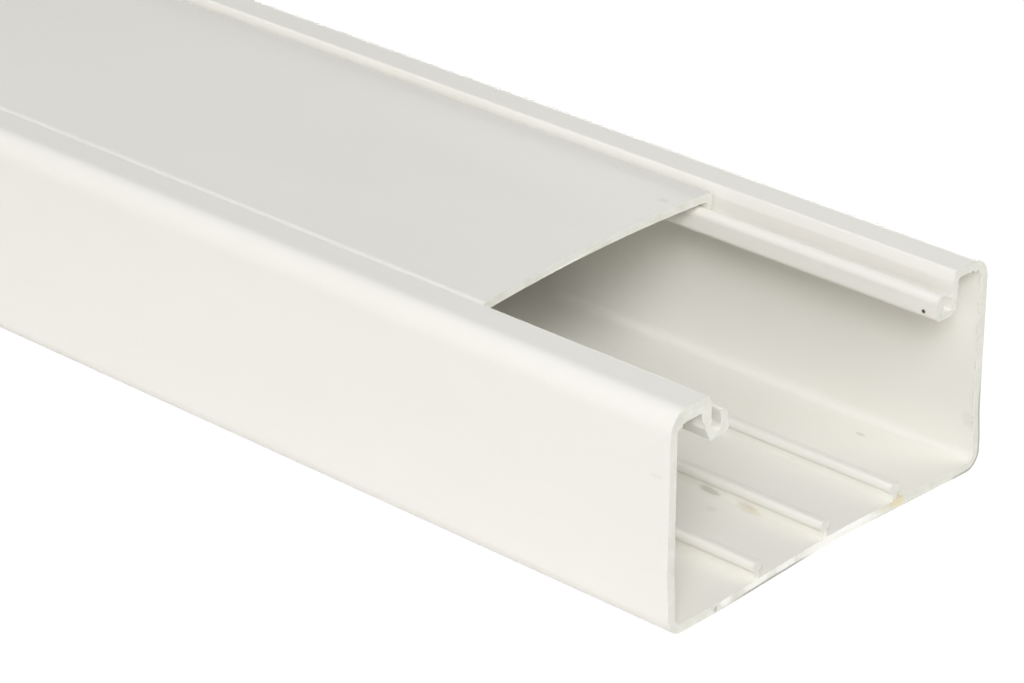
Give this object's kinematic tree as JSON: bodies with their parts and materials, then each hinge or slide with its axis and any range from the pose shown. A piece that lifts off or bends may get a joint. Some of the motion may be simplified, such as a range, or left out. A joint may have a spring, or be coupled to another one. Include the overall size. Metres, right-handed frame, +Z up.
{
  "type": "cable trunking",
  "caption": "Rectangular plastic channel with inward hooked lips and ribbed floor, closed by a shallow domed clip-in cover, for hiding and protecting cords along a wall.",
  "frame": {"origin": "middle of the channel's flat underside, halfway along the channel and midway between its side walls", "axes": "+Y along the channel, from the end where the cover is set back to the far end; +X across the channel; +Z up from the underside to the cover"},
  "size_m": [0.1, 2.0612, 0.0492],
  "materials": {
    "channel_plastic": "satin",
    "cover_plastic": "satin"
  },
  "bodies": {
    "channel": {"base_channel": "channel_plastic"},
    "lid": {"cover": "cover_plastic"}
  },
  "joints": [
    {"name": "cover_slide", "type": "slide", "parent": "channel", "child": "lid", "axis": [0, 1, 0], "range_m": [-0.0612, 0.9388]}
  ]
}
